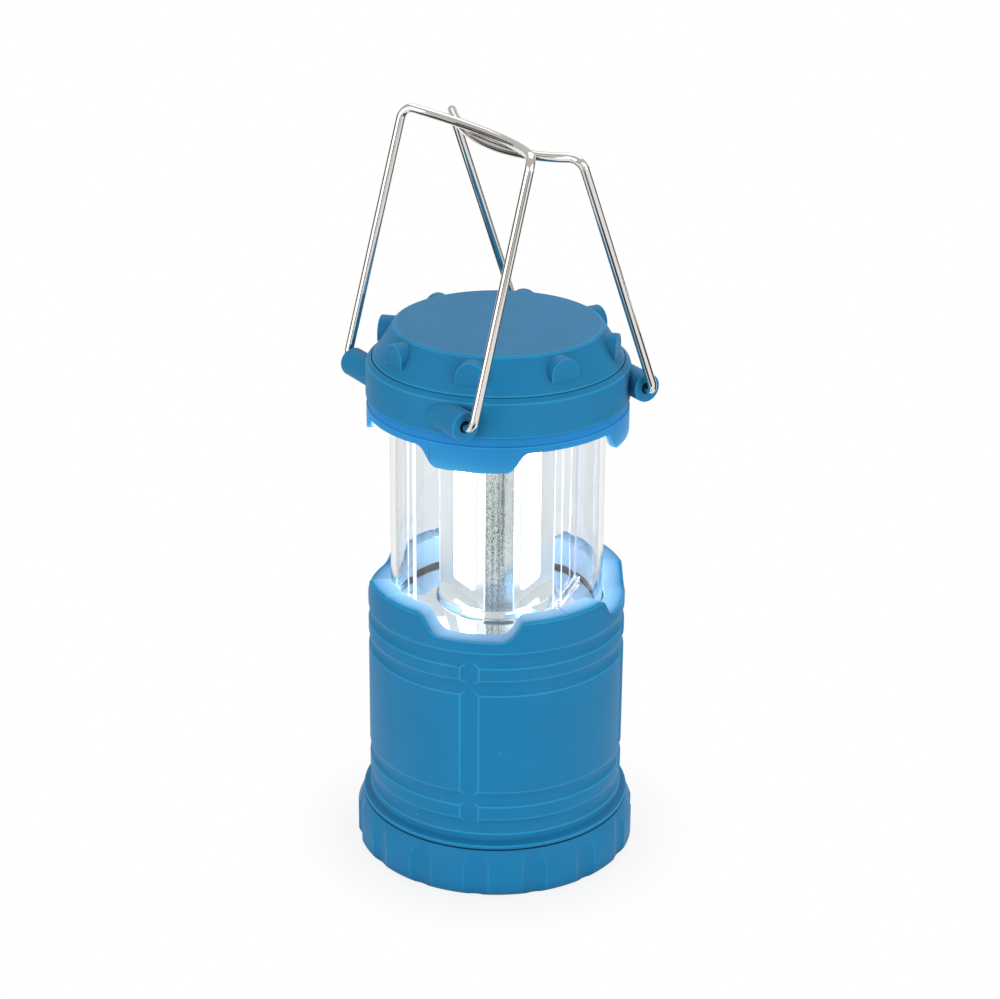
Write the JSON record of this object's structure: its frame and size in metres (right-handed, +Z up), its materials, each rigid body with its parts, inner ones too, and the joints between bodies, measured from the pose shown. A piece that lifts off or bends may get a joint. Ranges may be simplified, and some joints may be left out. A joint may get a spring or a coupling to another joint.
{
  "type": "camping lantern",
  "caption": "Telescoping camping lantern: the lamp head slides up out of the body on a clear globe, with folding wire handles and a twist-off battery base.",
  "frame": {"origin": "centre of the underside of the base, on the table", "axes": "+Z up through the cap; X along the hinge lines of the two handles; handle_a is hinged on the -Y side"},
  "size_m": [0.088, 0.0879, 0.2326],
  "materials": {
    "base_plastic": "satin moulded",
    "body_plastic": "satin moulded",
    "skirt_plastic": "satin moulded",
    "head_plastic": "satin moulded",
    "cap_plastic": "satin moulded",
    "handle_wire": "bright nickel plated steel wire",
    "globe_clear": "clear, polished",
    "mirror_floor": "bright metallised",
    "foot_silvered": "metallised",
    "reflector_silvered": "metallised",
    "cover_white": "glossy white",
    "tray_black": "black moulded",
    "screw_steel": "zinc plated",
    "cell_can": null,
    "contact_metal": "nickel plated spring steel",
    "rail_brass": "spring brass",
    "carrier_plastic": "natural moulded",
    "plate_white": "white moulded",
    "board_green": "solder mask",
    "led_board": "white solder mask",
    "led_lens": "phosphor coated strip"
  },
  "bodies": {
    "body": {"body_shell": "body_plastic", "battery_tray": "tray_black", "tray_screws": "screw_steel", "cell_1": "cell_can", "cell_2": "cell_can", "cell_3": "cell_can", "cell_links": "contact_metal", "cell_terminals": "contact_metal", "contact_rails": "rail_brass"},
    "base": {"base_cover": "base_plastic"},
    "lamp": {"carrier": "carrier_plastic", "carrier_screws": "screw_steel", "wiper_contacts": "rail_brass", "floor_mirror": "mirror_floor", "wire_cover": "cover_white", "column_foot": "foot_silvered", "reflector_1": "reflector_silvered", "reflector_2": "reflector_silvered", "reflector_3": "reflector_silvered", "led_board_1": "led_board", "led_board_2": "led_board", "led_board_3": "led_board", "led_strip_1": "led_lens", "led_strip_2": "led_lens", "led_strip_3": "led_lens", "globe": "globe_clear", "head_plate": "plate_white", "head_screws": "screw_steel", "driver_board": "board_green", "cap_skirt": "skirt_plastic", "cap_ring": "head_plastic", "cap_top": "cap_plastic"},
    "handle_a": {"handle_a": "handle_wire"},
    "handle_b": {"handle_b": "handle_wire"}
  },
  "joints": [
    {"name": "base_turn", "type": "hinge", "parent": "body", "child": "base", "pos_m": [0, 0, 0], "axis": [0, 0, 1], "range_deg": [0, 28]},
    {"name": "lamp_slide", "type": "slide", "parent": "body", "child": "lamp", "axis": [0, 0, -1], "range_m": [0, 0.0535]},
    {"name": "handle_a_hinge", "type": "hinge", "parent": "lamp", "child": "handle_a", "pos_m": [0, -0.0316, 0.1551], "axis": [1, 0, 0], "range_deg": [0, 192.5]},
    {"name": "handle_b_hinge", "type": "hinge", "parent": "lamp", "child": "handle_b", "pos_m": [0, 0.0316, 0.1551], "axis": [-1, 0, 0], "range_deg": [0, 198]}
  ]
}
